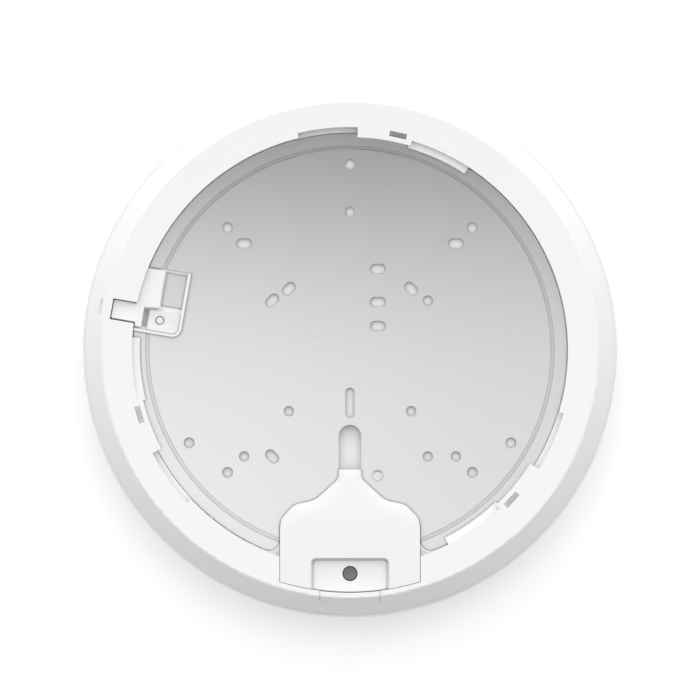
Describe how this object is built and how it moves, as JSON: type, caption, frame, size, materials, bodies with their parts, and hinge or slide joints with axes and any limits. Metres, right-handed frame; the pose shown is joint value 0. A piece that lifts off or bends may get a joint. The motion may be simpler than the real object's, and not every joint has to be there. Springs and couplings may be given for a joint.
{
  "type": "ceiling access point",
  "caption": "Round white ceiling access point, back side up: recessed steel mounting plate, bayonet ring, spring latch, lift-off port cover, radome.",
  "frame": {"origin": "centre of the flat ring face that meets the ceiling bracket", "axes": "+Z towards the ceiling, -Y towards the cable compartment, radome facing -Z"},
  "size_m": [0.2188, 0.2188, 0.04],
  "materials": {
    "white_plastic": "fine satin moulded",
    "dome_plastic": "fine satin moulded",
    "plate_steel": "satin, fine powder coat",
    "pad_metal": "satin",
    "bright_steel": "nickel plated",
    "grey_rubber": "matt",
    "dark_plastic": "matt moulded",
    "clear_plastic": "frosted clear",
    "circuit_board": "solder mask",
    "tinned_steel": "tin plated",
    "thermal_silicone": "soft pad",
    "cast_aluminium": "as cast",
    "gold_contact": "gold flashed",
    "carrier_plastic": "moulded"
  },
  "bodies": {
    "housing": {"rear_housing": "white_plastic", "back_plate": "plate_steel", "plate_backing": "white_plastic", "plate_rivet": "plate_steel", "latch_block": "white_plastic", "latch_tray_sheet": "plate_steel", "latch_pad": "pad_metal", "latch_rivet": "bright_steel", "latch_pivot_pin": "bright_steel", "latch_spring": "bright_steel", "reset_switch": "dark_plastic", "radome": "dome_plastic", "radome_gasket": "grey_rubber", "light_guide": "clear_plastic", "status_led": "clear_plastic", "main_board": "circuit_board", "board_screws": "bright_steel", "processor": "dark_plastic", "memory_chips": "dark_plastic", "radio_shields": "tinned_steel", "radio_chips": "dark_plastic", "thermal_pads": "thermal_silicone", "heat_sink": "cast_aluminium", "ethernet_jack": "tinned_steel", "jack_contacts": "gold_contact", "magnetics": "dark_plastic", "capacitors": "cast_aluminium", "inductors": "dark_plastic", "antenna_carrier": "carrier_plastic", "low_band_antennas": "tinned_steel", "high_band_antennas": "tinned_steel"},
    "port_cover": {"port_cover": "white_plastic"},
    "cable_knockout": {"cable_knockout": "white_plastic"},
    "latch_lever": {"latch_lever": "white_plastic"},
    "reset_button": {"reset_button": "grey_rubber"},
    "detent_spring_1": {"detent_spring_1": "bright_steel"},
    "detent_spring_2": {"detent_spring_2": "bright_steel"},
    "detent_spring_3": {"detent_spring_3": "bright_steel"}
  },
  "joints": [
    {"name": "port_cover_lift", "type": "slide", "parent": "housing", "child": "port_cover", "axis": [0, 0, 1], "range_m": [0, 0.03]},
    {"name": "knockout_pull", "type": "slide", "parent": "housing", "child": "cable_knockout", "axis": [0, 0, 1], "range_m": [0, 0.015]},
    {"name": "latch_release", "type": "hinge", "parent": "housing", "child": "latch_lever", "pos_m": [-0.08085, 0.02695, -0.004], "axis": [0, 0, 1], "range_deg": [0, 2.5], "stiffness_Nm_per_rad": 0.2, "springref_deg": -2.86},
    {"name": "reset_press", "type": "slide", "parent": "housing", "child": "reset_button", "axis": [0, 0, -1], "range_m": [0, 0.0005], "stiffness_N_per_m": 500},
    {"name": "detent_flex_1", "type": "slide", "parent": "housing", "child": "detent_spring_1", "axis": [0, 0, 1], "range_m": [0, 0.0006], "stiffness_N_per_m": 300},
    {"name": "detent_flex_2", "type": "slide", "parent": "housing", "child": "detent_spring_2", "axis": [0, 0, 1], "range_m": [0, 0.0006], "stiffness_N_per_m": 300},
    {"name": "detent_flex_3", "type": "slide", "parent": "housing", "child": "detent_spring_3", "axis": [0, 0, 1], "range_m": [0, 0.0006], "stiffness_N_per_m": 300}
  ]
}
